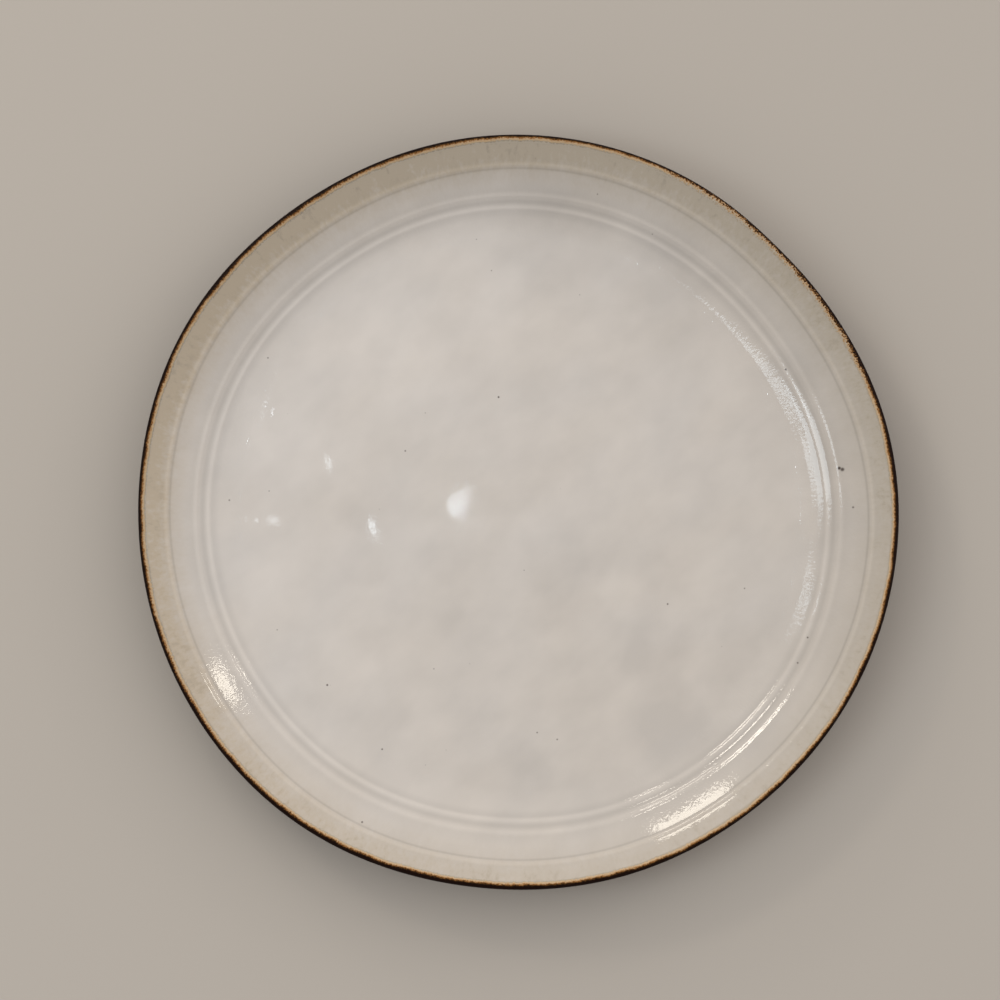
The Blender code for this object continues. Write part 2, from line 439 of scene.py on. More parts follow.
def out_of_true(place, section):
    """How far a point is pushed by the hand: the outline in or out, and the rings along the wall."""
    radius = math.hypot(place.x, place.y)
    around = math.atan2(place.y, place.x)
    double_ring = section.rim - section.sizes.double_ring_inset
    lip_ring = section.rim - section.sizes.lip_ring_inset
    push = waves(around, ((2, 0.65, 155), (3, 0.58, 103), (4, 0.24, 78), (5, 0.48, 8), (8, 0.15, 14)))
    flat_spot = (math.degrees(around) - 46) / 7
    push -= 0.55 * math.exp(-(flat_spot ** 2)) * smooth_step(radius, lip_ring, section.rim)
    slide = bell(radius - double_ring, 10 * MM) * waves(
        around, ((0, 0.2, 0), (1, 0.5, 285), (2, 0.20, 148), (3, 0.36, 68), (4, 0.20, 79), (5, 0.30, 37)))
    slide += bell(radius - lip_ring, 6.5 * MM) * waves(
        around, ((0, 0.65, 0), (1, 0.95, 307), (2, 0.22, 166), (4, 0.45, 72)))
    slope = math.tan(section.angle_at(min(radius, section.lip_r)))
    rise = 0.14 * math.cos(2 * around + 0.6) + 0.10 * math.cos(3 * around + 2.0)
    wall = smooth_step(radius, 65 * MM, 120 * MM)
    lift = rise * smooth_step(radius, 112 * MM, 146 * MM)
    out = (push + slide) * wall * MM * section.sizes.wander
    up = (lift + slide * slope * wall) * MM * section.sizes.wander
    return Vector((math.cos(around) * out, math.sin(around) * out, up))


def waves(around, parts):
    """Sum of waves round the rim, each given as its count, its height in mm and where it peaks."""
    return sum(height * math.cos(count * (around - math.radians(peak))) for count, height, peak in parts)


def bell(offset, reach):
    """Smooth bump of height 1 that has mostly died away at reach."""
    return math.exp(-((offset / reach) ** 2))


def smooth_step(value, low, high):
    """0 below low, 1 above high, and an S curve between."""
    share = min(1.0, max(0.0, (value - low) / (high - low)))
    return share * share * (3 - 2 * share)


def bend_out_of_true(piece, section):
    """Bend a piece in the lattice that every piece shares."""
    deselect_all()
    span = section.sizes.diameter * 1.12
    bpy.ops.object.add(type="LATTICE", location=(0, 0, section.sizes.height / 2))
    cage = bpy.context.object
    cage.name = "hand_wander"
    cage.scale = (span, span, section.sizes.height * 1.5)
    cage.data.points_u = 48
    cage.data.points_v = 48
    cage.data.points_w = 2
    bpy.context.view_layer.update()
    back = cage.matrix_world.inverted()
    for point in cage.data.points:
        place = cage.matrix_world @ point.co
        point.co_deform = back @ (place + out_of_true(place, section))
    pick(piece)
    bend = piece.modifiers.new("Hand wander", "LATTICE")
    bend.object = cage
    bpy.ops.object.modifier_apply(modifier=bend.name)
    cage_data = cage.data
    bpy.data.objects.remove(cage, do_unlink=True)
    bpy.data.lattices.remove(cage_data)


def ripple(piece, name, scale, strength, fade_from, fade_to):
    """Let the glazed face swell and sink gently: less on the floor, and not at all at the lip."""
    group = piece.vertex_groups.new(name=name)
    for vertex in piece.data.vertices:
        radius = math.hypot(vertex.co.x, vertex.co.y)
        weight = 1.0 - smooth_step(radius, fade_from, fade_to)
        weight *= FLOOR_SWELL + (1.0 - FLOOR_SWELL) * smooth_step(radius, *FLOOR_EDGE)
        if weight > 0.0:
            group.add([vertex.index], weight, "REPLACE")
    cloud = bpy.data.textures.new(name, "CLOUDS")
    cloud.noise_scale = scale
    cloud.noise_depth = 1
    swell = piece.modifiers.new(name, "DISPLACE")
    swell.texture = cloud
    swell.texture_coords = "LOCAL"
    swell.mid_level = 0.5
    swell.strength = strength
    swell.vertex_group = group.name
    pick(piece)
    bpy.ops.object.modifier_apply(modifier=swell.name)
    piece.vertex_groups.remove(piece.vertex_groups[name])
    bpy.data.textures.remove(cloud)


def turned_piece(context, name, half_section):
    """Spin a piece from its half section and bend it with the rest."""
    section = Section(context.scene.platter_sizes)
    piece = spin_piece(name, half_section(section))
    note_where_laid(piece, section)
    bend_out_of_true(piece, section)
    return piece


def settle(piece, node, finish):
    """Give a finished piece its finish and its body, and hide the solid that it stands for."""
    piece.data.materials.clear()
    piece.data.materials.append(finish)
    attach(piece, "root")
    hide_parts(node)


# ---------------------------------------------------------------- finishes


class Nodes:
    """Short ways to add nodes to a tree."""

    def __init__(self, tree):
        self.tree = tree

    def add(self, kind, inputs=None, **settings):
        """Add a node with its settings, and set or wire its inputs."""
        node = self.tree.nodes.new(kind)
        for key, value in settings.items():
            setattr(node, key, value)
        for key, value in (inputs or {}).items():
            if isinstance(value, bpy.types.NodeSocket):
                self.tree.links.new(value, node.inputs[key])
            else:
                node.inputs[key].default_value = value
        return node

    def math(self, operation, *values):
        """One sum on single numbers."""
        return self.add("ShaderNodeMath", dict(enumerate(values)), operation=operation).outputs[0]

    def weigh(self, *parts):
        """Sum of numbers, each given with its share."""
        total = None
        for value, share in parts:
            part = self.math("MULTIPLY", value, share)
            total = part if total is None else self.math("ADD", total, part)
        return total

    def vector(self, operation, first, second=None, scale=None):
        """One sum on vectors."""
        inputs = {0: first}
        if second is not None:
            inputs[1] = second
        if scale is not None:
            inputs["Scale"] = scale
        node = self.add("ShaderNodeVectorMath", inputs, operation=operation)
        single = operation in ("DOT_PRODUCT", "DISTANCE", "LENGTH")
        return node.outputs["Value" if single else "Vector"]

    def noise(self, place, scale, detail=2.0, roughness=0.5, distortion=0.0):
        """Cloudy noise from 0 to 1, scale in turns per mm."""
        inputs = {
            "Vector": place, "Scale": scale, "Detail": detail, "Roughness": roughness,
            "Distortion": distortion,
        }
        return self.add("ShaderNodeTexNoise", inputs).outputs["Fac"]

    def spread(self, value, low, high, to_low=0.0, to_high=1.0, smooth=True):
        """Stretch part of a range over another, clamped."""
        inputs = {
            "Value": value, "From Min": low, "From Max": high, "To Min": to_low, "To Max": to_high,
        }
        kind = "SMOOTHSTEP" if smooth else "LINEAR"
        return self.add("ShaderNodeMapRange", inputs, interpolation_type=kind).outputs["Result"]

    def stretch(self, noise, low, high):
        """Stretch the span that a noise mostly keeps to over another."""
        return self.spread(noise, *NOISE_SPAN, low, high, smooth=False)

    def mix(self, share, first, second, blend="MIX"):
        """Blend two colours."""
        node = self.add("ShaderNodeMix", data_type="RGBA", blend_type=blend)
        for socket, value in zip((node.inputs[0], node.inputs[6], node.inputs[7]), (share, first, second)):
            if isinstance(value, bpy.types.NodeSocket):
                self.tree.links.new(value, socket)
            elif socket.type == "RGBA":
                socket.default_value = (*value[:3], 1.0)
            else:
                socket.default_value = value
        return node.outputs[2]

    def curve(self, value, stops, low, high):
        """A number read off a smooth run of (position, number) stops between low and high."""
        greys = [(position, (number, number, number)) for position, number in stops]
        return self.colours(value, greys, low, high, "EASE")

    def colours(self, value, stops, low, high, run="LINEAR"):
        """A colour read off a run of (position, colour) stops between low and high."""
        share = self.spread(value, low, high, smooth=False)
        ramp = self.add("ShaderNodeValToRGB", {"Fac": share})
        ramp.color_ramp.interpolation = run
        elements = ramp.color_ramp.elements
        while len(elements) > 1:
            elements.remove(elements[-1])
        for index, (position, colour) in enumerate(stops):
            at = (position - low) / (high - low)
            element = elements[0] if index == 0 else elements.new(at)
            element.position = at
            element.color = (*colour[:3], 1.0)
        return ramp.outputs["Color"]


class Finish(Nodes):
    """A material laid on the true-turned shape."""

    def __init__(self, name, roughness, ior):
        self.material = bpy.data.materials.new(name)
        self.material.use_nodes = True
        super().__init__(self.material.node_tree)
        self.shader = self.tree.nodes["Principled BSDF"]
        self.shader.inputs["Roughness"].default_value = roughness
        self.shader.inputs["IOR"].default_value = ior
        attribute = self.add("ShaderNodeAttribute", attribute_name=LAID)
        self.place = attribute.outputs["Vector"]

    def radius(self):
        """Distance from the axis in mm."""
        return self.vector("LENGTH", self.flat())

    def from_crest(self):
        """Distance in mm along the glaze from the crest of the lip."""
        return self.add("ShaderNodeSeparateXYZ", {0: self.place}).outputs["Z"]

    def flat(self):
        """Place on the platter seen from above, in mm."""
        return self.vector("MULTIPLY", self.place, (1.0, 1.0, 0.0))

    def outward(self):
        """Direction away from the axis."""
        return self.vector("NORMALIZE", self.flat())

    def toward(self, side):
        """How far this part of the rim lies toward a side: 1 there, and -1 opposite."""
        return self.vector("DOT_PRODUCT", self.outward(), side)

    def around(self, pull):
        """Place for noise that runs in streaks down the wall: pull under 1 stretches them."""
        ring = self.vector("SCALE", self.outward(), scale=NOISE_RING)
        down = self.math("MULTIPLY", self.from_crest(), pull)
        lift = self.add("ShaderNodeCombineXYZ", {"X": 0.0, "Y": 0.0, "Z": down}).outputs[0]
        return self.vector("ADD", ring, lift)

    def bump(self, height, distance):
        """Turn a height into surface relief, distance in metres."""
        node = self.add("ShaderNodeBump", {"Height": height, "Distance": distance, "Strength": 1.0})
        self.tree.links.new(node.outputs["Normal"], self.shader.inputs["Normal"])

    def paint(self, colour):
        """Wire the base colour."""
        self.tree.links.new(colour, self.shader.inputs["Base Color"])

    def gloss(self, value):
        """Wire the roughness."""
        self.tree.links.new(value, self.shader.inputs["Roughness"])


def warm_shade(colour):
    """A colour a little redder."""
    red, green, blue = colour
    return (red * 1.03, green * 0.97, blue * 0.89)


def shade(colour, share):
    """A colour made lighter or darker."""
    return tuple(channel * share for channel in colour)


def heading(azimuth):
    """Direction from the axis, azimuth from +X in degrees."""
    return (math.cos(math.radians(azimuth)), math.sin(math.radians(azimuth)), 0.0)


WORN_SIDE = heading(80)     # where the iron is thinnest on the lip
WORN_SPOT = heading(43)     # where it is worn and speckled most
SHADED_SIDE = heading(115)    # side where the wall and the lip are painted darker: painted shade, as the top faces away from the light
WARM_SIDE = heading(200)    # where the thin glaze is brownest


def lip_colour(finish, colours, under):
    """Iron band: near black outside, breaking to speckled gold, with under inside it, and painted shade
    darkening it towards the top.
    """
    crest = finish.from_crest()
    border = finish.math("MULTIPLY_ADD", finish.toward(WORN_SIDE), 0.30, 0.42)
    parts = finish.add("ShaderNodeSeparateXYZ", {0: finish.flat()}).outputs
    turn = finish.math("ARCTAN2", parts["Y"], parts["X"])
    wave = finish.math("COSINE", finish.math("MULTIPLY_ADD", turn, 3.0, math.radians(-210)))
    border = finish.math("MULTIPLY_ADD", wave, 0.23, border)
    streaks = finish.noise(finish.around(0.5), 0.11, detail=3.0)
    border = finish.math("ADD", border, finish.stretch(streaks, -0.32, 0.32))
    speckle = finish.noise(finish.around(1.0), 1.5, detail=2.5, roughness=0.7)
    worn = finish.spread(finish.toward(WORN_SPOT), 0.88, 0.985, 0.65, 1.9)
    wobble = finish.math("MULTIPLY", worn, finish.spread(speckle, 0.25, 0.75, -0.9, 0.9, smooth=False))
    inside = finish.math("ADD", finish.math("SUBTRACT", crest, border), wobble)
    stops = (
        (-1.9, colours.rim_tint),
        (-1.5, shade(colours.rim_tint, 0.76)),
        (-1.2, shade(colours.gold, 1.18)),
        (-0.75, colours.gold),
        (-0.35, shade(colours.amber, 1.5)),
        (-0.05, shade(colours.amber, 0.55)),
        (0.25, shade(colours.amber, 0.16)),
        (0.6, colours.iron),
    )
    band = finish.colours(inside, stops, -4.0, 2.0)
    share = finish.spread(inside, -2.1, -1.6)
    # Painted shade: the band darker towards the top of the lip, which faces away from the light
    top_shade = finish.math("MULTIPLY_ADD", finish.toward(SHADED_SIDE), -0.13, 0.94)
    band = finish.mix(1.0, band, top_shade, blend="MULTIPLY")
    return finish.mix(share, under, band)


# Soft clouds in the glaze of the floor: x, y and reach in mm, and how much lighter or darker. The large
# dark ones at the top edge of the floor are painted shade, where the turn there faces away from the light.
CLOUDS = (
    (25, -17, 17, -0.75), (16, -33, 13, -0.5), (53, -57, 18, -0.8), (62, -85, 20, -1.0),
    (86, -60, 13, -0.6), (4, -99, 16, -0.7), (-64, 3, 12, -0.5), (-30, -17, 14, -0.6),
    (-62, -17, 11, -0.4), (-22, -45, 15, -0.6), (98, 55, 16, -0.5), (14, 108, 34, -1.0),
    (62, 88, 32, -1.1), (97, 30, 18, -0.4), (61, -24, 9, -0.4), (-46, 63, 34, 0.7),
    (-62, -64, 16, 0.6), (13, -54, 11, 0.5), (41, -30, 10, 0.5), (73, -33, 13, 0.5),
    (-92, -32, 18, 0.6), (-88, 30, 22, 0.4), (-10, 78, 18, 0.4), (-35, -85, 14, 0.3),
)

# Iron specks: x, y and size in mm, and how dark
SPECKS = (
    (-7.2, 47, 0.55, 0.9), (-99, 62.5, 0.45, 0.7), (-44.5, 25.5, 0.5, 0.7), (-16, 110, 0.4, 0.4),
    (-10, 97.5, 0.4, 0.5), (-36.5, 40.7, 0.35, 0.4), (-99, 9.5, 0.4, 0.5), (-114.6, 5.8, 0.5, 0.6),
    (127.4, 17.9, 0.85, 1.0), (128.5, 17.35, 1.0, 0.9), (132, 2.3, 0.55, 0.7), (108.4, 58.2, 0.55, 0.85),
    (54.6, 112.5, 0.35, 0.5), (32.4, 127.5, 0.4, 0.5), (60.2, -35.8, 0.5, 0.8),
    (90.3, -29.4, 0.45, 0.6), (114, -48.5, 0.5, 0.8), (110, -58.4, 0.5, 0.7),
    (-75.4, -67.9, 0.55, 0.9), (-33, -61.6, 0.4, 0.5), (-53.6, -93.6, 0.5, 0.8),
    (8.2, -87.3, 0.45, 0.7), (16.2, -90, 0.5, 0.6), (-60.7, -121.8, 0.55, 0.8),
    (-95.6, -46, 0.4, 0.5), (3, -22.3, 0.35, 0.5), (25.3, 88, 0.35, 0.4),
)


def clouding(finish, colours):
    """Cloudy body of the glaze on the floor, with painted shade at its top edge, and painted light that
    makes it cool and pale on one side, warm and darker on the other.
    """
    flat = finish.flat()
    drift = finish.add("ShaderNodeTexNoise", {"Vector": flat, "Scale": 0.045, "Detail": 2.0})
    drift = finish.vector("SUBTRACT", drift.outputs["Color"], (0.5, 0.5, 0.5))
    drifted = finish.vector("ADD", flat, finish.vector("SCALE", drift, scale=26.0))
    drifted = finish.vector("MULTIPLY", drifted, (1.0, 1.0, 0.0))
    total = None
    # Clouds in the glaze, and painted shade at the top edge of the floor
    for x, y, reach, amount in CLOUDS:
        away = finish.vector("DISTANCE", drifted, (x, y, 0.0))
        cloud = finish.spread(away, 0.15 * reach, 1.15 * reach, 1.25 * amount, 0.0)
        total = cloud if total is None else finish.math("ADD", total, cloud)
    turned = finish.add("ShaderNodeMapping", {
        "Vector": flat, "Rotation": (0.0, 0.0, math.radians(38)), "Scale": (1.45, 1.0, 1.0),
    }, vector_type="TEXTURE").outputs["Vector"]
    broad = finish.noise(turned, 0.04, detail=2.0, roughness=0.5)
    small = finish.noise(turned, 0.10, detail=2.5, roughness=0.5)
    total = finish.math("ADD", total, finish.stretch(broad, -0.45, 0.45))
    total = finish.math("ADD", total, finish.stretch(small, -0.45, 0.45))
    # Painted light: the floor lighter towards the upper left, where the light falls most
    side = finish.vector("DOT_PRODUCT", flat, (-0.0045, 0.0035, 0.0))
    total = finish.math("ADD", total, side)
    light = shade(colours.pale, 1.10)
    dark = shade(colours.pale, 0.875)
    body = finish.mix(finish.spread(total, -1.6, 1.6, smooth=False), dark, light)
    hue = finish.noise(turned, 0.03, detail=1.5)
    # Painted light: the lighter side is also cooler
    hue = finish.math("MULTIPLY_ADD", side, 0.7, finish.stretch(hue, 0.2, 0.8))
    warm = finish.mix(1.0, body, (1.008, 0.997, 0.975), blend="MULTIPLY")
    cool = finish.mix(1.0, body, (0.992, 1.004, 1.017), blend="MULTIPLY")
    return finish.mix(hue, warm, cool), small


def specks(finish, under):
    """Iron specks in the glaze, each with a faint brown edge, and a scatter of pinpoints."""
    flat = finish.flat()
    total = None
    for x, y, size, depth in SPECKS:
        away = finish.vector("DISTANCE", flat, (x, y, 0.0))
        spot = finish.spread(away, 0.25 * size, 1.1 * size, depth, 0.0)
        total = spot if total is None else finish.math("MAXIMUM", total, spot)
    cells = finish.add("ShaderNodeTexVoronoi", {"Vector": flat, "Scale": 0.11, "Randomness": 1.0})
    pick = finish.add("ShaderNodeSeparateColor", {"Color": cells.outputs["Color"]}).outputs["Red"]
    near = finish.spread(cells.outputs["Distance"], 0.012, 0.035, 1.0, 0.0)
    near = finish.math("MULTIPLY", near, finish.spread(pick, 0.6, 1.0, 0.0, 0.35, smooth=False))
    total = finish.math("MAXIMUM", total, near)
    return finish.mix(total, under, (0.045, 0.028, 0.020))


def pale_glaze(colours):
    """Pale warm-grey glaze of the face: clouded on the floor, thin and mottled towards the lip, with
    painted light and shade on the floor, the wall, the rings and the lip.
    """
    finish = Finish("pale_grey_glaze", 0.05, 1.6)
    radius = finish.radius()
    body, small = clouding(finish, colours)

    # Thinner glaze up the wall shows the iron-bearing clay under it; towards the shaded side the tint and
    # its dark spots grow, as painted shade where the top of the wall faces away from the light
    thin = finish.curve(radius, (
        (112, 0.0), (119, 0.04), (130, 0.15), (135, 0.33), (140, 0.72), (144, 0.92), (148, 1.0),
    ), 100, 150)
    # Painted shade: more of the thin-glaze tint towards the top of the wall
    toward_shade = finish.toward(SHADED_SIDE)
    thin = finish.math("MULTIPLY", thin, finish.math("MULTIPLY_ADD", toward_shade, 0.35, 0.95))
    warmth = finish.spread(finish.toward(WARM_SIDE), -1.0, 1.0, smooth=False)
    tint = finish.mix(warmth, colours.rim_tint, warm_shade(colours.rim_tint))
    down = finish.noise(finish.around(0.45), 0.13, detail=4.0, roughness=0.7)
    spotty = finish.noise(finish.around(0.55), 0.55, detail=3.0, roughness=0.65)
    patchy = finish.weigh((down, 0.5), (spotty, 0.5))
    thin = finish.math("MULTIPLY_ADD", finish.stretch(patchy, -0.4, 0.4), thin, thin)
    body = finish.mix(thin, body, tint)
    # Dark spots of thin glaze near the lip, with more of them towards the top as painted shade
    spots_and_shade = finish.math("MULTIPLY", finish.spread(patchy, 0.53, 0.66), finish.spread(radius, 137.5, 145.0))
    spots_and_shade = finish.math("MULTIPLY", spots_and_shade, finish.math("MULTIPLY_ADD", toward_shade, 0.12, 0.30))
    body = finish.mix(spots_and_shade, body, shade(colours.rim_tint, 0.62))

    # Raised rings: paler on each crest and darker just inside it, partly glaze that pools beside each
    # ridge and partly painted light on the crests and painted shade on the steep inner flanks
    rings = finish.curve(radius, (
        (118.0, 0.500), (120.9, 0.460), (122.4, 0.530), (124.6, 0.440), (127.0, 0.525),
        (129.0, 0.480), (133.0, 0.500), (136.6, 0.495), (137.35, 0.425), (138.1, 0.52),
        (138.9, 0.535), (140.2, 0.490), (143.0, 0.500),
    ), 116, 146)
    rings = finish.math("MULTIPLY", rings, 2.0)
    body = finish.mix(1.0, body, rings, blend="MULTIPLY")

    body = lip_colour(finish, colours, specks(finish, body))
    finish.paint(body)

    # The floor of the platter is smoother than the turn and the wall
    peel = finish.noise(finish.flat(), 0.11, detail=2.0)
    fine = finish.noise(finish.around(0.7), 0.8, detail=2.0)
    height = finish.weigh((peel, 0.5), (fine, 0.6))
    uneven = finish.curve(radius, (
        (0, 0.035), (107, 0.035), (116, 0.85), (124, 0.9), (129, 1.2), (140, 0.6),
    ), 0, 150)
    finish.bump(finish.math("MULTIPLY", height, uneven), 0.07 * MM)
    finish.gloss(finish.stretch(small, 0.008, 0.02))
    return finish.material


def iron_band(colours):
    """Iron glaze over the lip."""
    finish = Finish("iron_band", 0.28, 1.55)
    finish.shader.inputs["Specular IOR Level"].default_value = 0.05
    finish.paint(lip_colour(finish, colours, colours.rim_tint))
    rough = finish.noise(finish.around(1.0), 1.1, detail=3.0)
    finish.gloss(finish.stretch(rough, 0.32, 0.55))
    finish.bump(rough, 0.10 * MM)
    return finish.material


def brown_glaze(colours, name):
    """Satin brown iron glaze of the outside and underside, mottled where it runs thin."""
    finish = Finish(name, 0.30, 1.55)
    mottle = finish.noise(finish.place, 0.05, detail=5.0, roughness=0.62, distortion=0.8)
    fleck = finish.noise(finish.place, 0.45, detail=3.0, roughness=0.6)
    ribs = finish.noise(finish.vector("MULTIPLY", finish.around(6.0), (0.02, 0.02, 1.0)), 0.12, detail=2.0)
    blend = finish.weigh((mottle, 0.6), (fleck, 0.25), (ribs, 0.15))
    stops = (
        (0.34, shade(colours.iron, 1.1)), (0.48, colours.brown), (0.58, shade(colours.brown, 1.7)),
        (0.68, shade(colours.amber, 0.85)),
    )
    finish.paint(finish.colours(blend, stops, 0.3, 0.72))
    finish.gloss(finish.stretch(fleck, 0.22, 0.42))
    finish.bump(finish.math("ADD", fleck, mottle), 0.06 * MM)
    return finish.material


def bare_clay(colours):
    """Fired stoneware without glaze: matt, gritty, with iron freckles."""
    finish = Finish("bare_stoneware", 0.85, 1.45)
    broad = finish.noise(finish.place, 0.06, detail=3.0)
    grit = finish.noise(finish.place, 2.2, detail=4.0, roughness=0.7)
    freckle = finish.noise(finish.place, 0.9, detail=1.0)
    blend = finish.weigh((broad, 0.4), (grit, 0.6))
    colour = finish.colours(blend, (
        (0.35, shade(colours.clay, 0.62)), (0.5, colours.clay), (0.65, shade(colours.clay, 1.28)),
    ), 0.3, 0.7)
    colour = finish.mix(finish.spread(freckle, 0.66, 0.72), colour, shade(colours.amber, 0.6))
    finish.paint(colour)
    finish.gloss(finish.stretch(grit, 0.75, 0.95))
    finish.bump(grit, 0.12 * MM)
    return finish.material


# ---------------------------------------------------------------- operators


class PLATTER_OT_clay_body(bpy.types.Operator):
    """Turn the fired clay body, with its lip and its bare foot ring"""

    bl_idname = "platter.clay_body"
    bl_label = "Clay Body"

    def execute(self, context):
        piece = turned_piece(context, "clay_foot_and_body", clay_section)
        settle(piece, "clay_body", bare_clay(context.scene.platter_colours))
        return {"FINISHED"}


class PLATTER_OT_face_glaze(bpy.types.Operator):
    """Lay the pale glaze over the face, with its raised rings"""

    bl_idname = "platter.face_glaze"
    bl_label = "Face Glaze"

    def execute(self, context):
        piece = turned_piece(context, "face_glaze_coat", face_glaze_section)
        ripple(piece, "Swell", 34 * MM, 0.10 * MM, 100 * MM, 138 * MM)
        ripple(piece, "Ripple", 12 * MM, 0.035 * MM, 132 * MM, 144 * MM)
        settle(piece, "face_glaze", pale_glaze(context.scene.platter_colours))
        return {"FINISHED"}


class PLATTER_OT_rim_band(bpy.types.Operator):
    """Lay the iron band over the lip"""

    bl_idname = "platter.rim_band"
    bl_label = "Iron Band"

    def execute(self, context):
        piece = turned_piece(context, "iron_lip_band", rim_band_section)
        settle(piece, "rim_band", iron_band(context.scene.platter_colours))
        return {"FINISHED"}


class PLATTER_OT_outer_glaze(bpy.types.Operator):
    """Lay the brown glaze over the outside, from the iron band to the foot ring"""

    bl_idname = "platter.outer_glaze"
    bl_label = "Outer Glaze"

    def execute(self, context):
        piece = turned_piece(context, "outer_glaze_coat", outer_glaze_section)
        finish = brown_glaze(context.scene.platter_colours, "outer_brown_glaze")
        settle(piece, "outer_glaze", finish)
        return {"FINISHED"}


class PLATTER_OT_base_glaze(bpy.types.Operator):
    """Lay the brown glaze inside the foot ring"""

    bl_idname = "platter.base_glaze"
    bl_label = "Base Glaze"

    def execute(self, context):
        piece = turned_piece(context, "base_glaze_coat", base_glaze_section)
        finish = brown_glaze(context.scene.platter_colours, "base_brown_glaze")
        settle(piece, "base_glaze", finish)
        return {"FINISHED"}


def soft_light(name, place, turn, shape, size, glow, colour):
    """Area light seen only in its effect."""
    deselect_all()
    bpy.ops.object.light_add(type="AREA", location=place)
    lamp = bpy.context.object
    lamp.name = name
    lamp.rotation_euler = turn
    lamp.data.shape = shape
    lamp.data.size, lamp.data.size_y = size
    lamp.data.energy = glow * math.pi * size[0] * size[1]
    lamp.data.color = colour
    lamp.visible_camera = False


def dome_light(name, polar, azimuth, size, glow, colour):
    """Light on the dome, facing the platter: polar from straight up, azimuth from +X, in degrees."""
    toward = direction(math.radians(polar), math.radians(azimuth))
    turn = (-toward).to_track_quat("-Z", "Y").to_euler()
    soft_light(name, toward * DOME, turn, "RECTANGLE", size, glow, colour)


def direction(polar, azimuth):
    """Direction at an angle from straight up and an angle round from +X."""
    return Vector((
        math.sin(polar) * math.cos(azimuth), math.sin(polar) * math.sin(azimuth), math.cos(polar)))


DOME = 2.0                  # distance of the lights from the platter, in metres
WINDOW_STRENGTH = 3.5
COOL = (0.80, 0.92, 1.0)
WARM = (1.0, 0.93, 0.80)
CAMERA_SIDE = math.radians(290)     # the way the camera leans
CAMERA_LENS = 180           # in mm
FLOOR_MELTS = (0.6, 2.4)    # metres from the platter between which the floor fades into the room

# Lights on the dome: angle from straight up, angle round, width and height in metres, and for the
# lamps their strength
WINDOW = (
    ("upper", 19.5, 201, (0.10, 0.73)), ("middle", 35, 187.5, (0.44, 0.63)),
    ("middle_low", 22, 184.2, (0.14, 0.30)), ("lower", 26, 157.3, (0.07, 0.56)),
)
LAMPS = (
    ("far", 65.5, 119.5, (0.41, 0.20), 7.0), ("far_strip", 50.5, 134, (0.37, 0.20), 13.0),
    ("far_end", 51.0, 114.5, (0.12, 0.16), 12.0), ("right", 59.6, 33.2, (0.17, 0.13), 7.5),
)

# Lights that glint in the floor of the platter: x, y and width in mm, and strength
GLINTS = (
    (-24.3, 4.6, 5.0, 30.0), (-57.9, -5.3, 5.0, 7.0), (-77.0, 19.3, 5.0, 4.5), (-95.6, 40.3, 5.5, 5.0),
    (-96.8, -1.3, 4.0, 4.0),
)


def glint_light(name, viewer, spot, width, glow, colour):
    """Small light that the flat floor of the platter mirrors to the viewer at this spot."""
    place = (2 * spot[0] - viewer.x, 2 * spot[1] - viewer.y, viewer.z)
    turn = (0.0, 0.0, math.radians(20))
    soft_light(name, place, turn, "ELLIPSE", (width, 2 * width), glow, colour)


def room_world(settings):
    """Even room light, brighter from overhead on one side, and plain to the camera."""
    world = bpy.data.worlds.new("room_light")
    world.use_nodes = True
    world.node_tree.nodes.clear()
    nodes = Nodes(world.node_tree)
    place = nodes.add("ShaderNodeTexCoord").outputs["Generated"]
    facing = nodes.vector("DOT_PRODUCT", place, Vector((0.30, 0.74, 0.60)).normalized())
    light = nodes.colours(facing, (
        (0.0, (0.45, 0.448, 0.445)), (0.45, (0.67, 0.66, 0.65)), (1.0, (2.0, 1.94, 1.86)),
    ), 0.0, 1.0, "B_SPLINE")
    lit = nodes.add("ShaderNodeBackground", {"Color": light, "Strength": settings.room_light})
    plain = nodes.add("ShaderNodeBackground", {"Color": (*settings.floor, 1.0)})
    seen = nodes.add("ShaderNodeLightPath").outputs["Is Camera Ray"]
    either = nodes.add("ShaderNodeMixShader", {0: seen, 1: lit.outputs[0], 2: plain.outputs[0]})
    nodes.add("ShaderNodeOutputWorld", {"Surface": either.outputs[0]})
    return world


def floor_finish(settings):
    """Plain pale floor that melts into the room far away."""
    material = bpy.data.materials.new("plain_floor")
    material.use_nodes = True
    nodes = Nodes(material.node_tree)
    shader = nodes.tree.nodes["Principled BSDF"]
    shader.inputs["Base Color"].default_value = (*settings.floor, 1.0)
    shader.inputs["Roughness"].default_value = 0.75
    shader.inputs["Specular IOR Level"].default_value = 0.2
    place = nodes.add("ShaderNodeTexCoord").outputs["Object"]
    far = nodes.spread(nodes.vector("LENGTH", place), *FLOOR_MELTS)
    glow = nodes.add("ShaderNodeEmission", {"Color": (*settings.floor, 1.0)})
    blend = nodes.add("ShaderNodeMixShader", {0: far, 1: shader.outputs[0], 2: glow.outputs[0]})
    nodes.tree.links.new(blend.outputs[0], nodes.tree.nodes["Material Output"].inputs["Surface"])
    return material


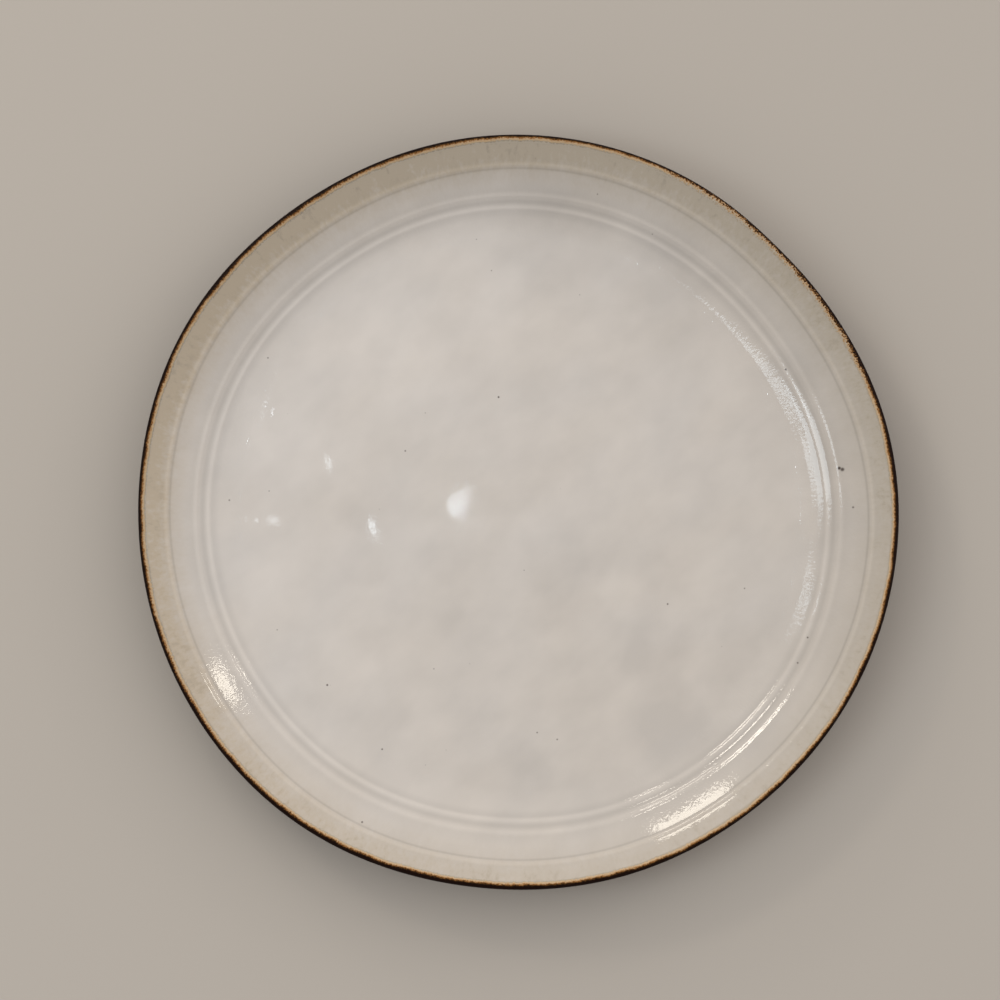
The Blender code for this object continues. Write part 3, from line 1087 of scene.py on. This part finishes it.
class PLATTER_OT_stage(bpy.types.Operator):
    """Set up the plain floor, the soft light and the camera"""

    bl_idname = "platter.stage"
    bl_label = "Stage"

    def execute(self, context):
        settings = context.scene.platter_stage
        sizes = context.scene.platter_sizes
        deselect_all()
        bpy.ops.mesh.primitive_circle_add(
            vertices=128, radius=settings.floor_radius, fill_type="NGON", location=(0, 0, -0.05 * MM))
        floor = context.object
        floor.name = "stage_floor"
        floor.data.materials.append(floor_finish(settings))

        context.scene.world = room_world(settings)
        context.scene.view_settings.view_transform = "Standard"
        glow = settings.window_light
        for name, polar, azimuth, size in WINDOW:
            dome_light("window_" + name, polar, azimuth, size, WINDOW_STRENGTH * glow, COOL)
        for name, polar, azimuth, size, strength in LAMPS:
            dome_light("lamp_" + name, polar, azimuth, size, strength * glow, WARM)

        lip = Vector((-6.3 * MM, 4.9 * MM, sizes.height - 1.5 * MM))
        toward = direction(settings.camera_tilt, CAMERA_SIDE)
        bpy.ops.object.camera_add(location=lip + toward * settings.camera_distance)
        camera = context.object
        camera.name = "view_camera"
        across = Vector((0, 1, 0)).cross(toward).normalized()
        turned = Matrix((across, toward.cross(across), toward)).transposed()
        camera.rotation_euler = turned.to_euler()
        camera.data.lens = CAMERA_LENS
        camera.data.clip_start = 0.05
        camera.data.clip_end = 50
        context.scene.camera = camera
        for number, (x, y, width, strength) in enumerate(GLINTS):
            spot = (x * MM, y * MM)
            name = "glint_{}".format(number)
            glint_light(name, camera.location, spot, width * MM, strength * glow, COOL)
        return {"FINISHED"}


STEPS = (
    PLATTER_OT_clay_body, PLATTER_OT_face_glaze, PLATTER_OT_rim_band, PLATTER_OT_outer_glaze,
    PLATTER_OT_base_glaze, PLATTER_OT_stage,
)


class VIEW3D_PT_platter(bpy.types.Panel):
    """Sidebar panel with the platter's sizes, colours and steps"""

    bl_label = "Platter"
    bl_space_type = "VIEW_3D"
    bl_region_type = "UI"
    bl_category = "Platter"

    def draw(self, context):
        layout = self.layout
        scene = context.scene
        for group in (scene.platter_sizes, scene.platter_colours, scene.platter_stage):
            box = layout.box()
            for name in group.__annotations__:
                box.prop(group, name)
        for step in STEPS:
            layout.operator(step.bl_idname)


CLASSES = (PlatterSizes, PlatterColours, StageSettings, *STEPS, VIEW3D_PT_platter)


def register():
    """Add the platter's classes and settings."""
    for entry in CLASSES:
        bpy.utils.register_class(entry)
    bpy.types.Scene.platter_sizes = PointerProperty(type=PlatterSizes)
    bpy.types.Scene.platter_colours = PointerProperty(type=PlatterColours)
    bpy.types.Scene.platter_stage = PointerProperty(type=StageSettings)


def unregister():
    """Take them away again."""
    del bpy.types.Scene.platter_stage
    del bpy.types.Scene.platter_colours
    del bpy.types.Scene.platter_sizes
    for entry in reversed(CLASSES):
        bpy.utils.unregister_class(entry)


def main():
    """Make the platter and its stage."""
    register()
    bpy.ops.platter.clay_body()
    bpy.ops.platter.face_glaze()
    bpy.ops.platter.rim_band()
    bpy.ops.platter.outer_glaze()
    bpy.ops.platter.base_glaze()
    bpy.ops.platter.stage()


if __name__ == "__main__":
    main()
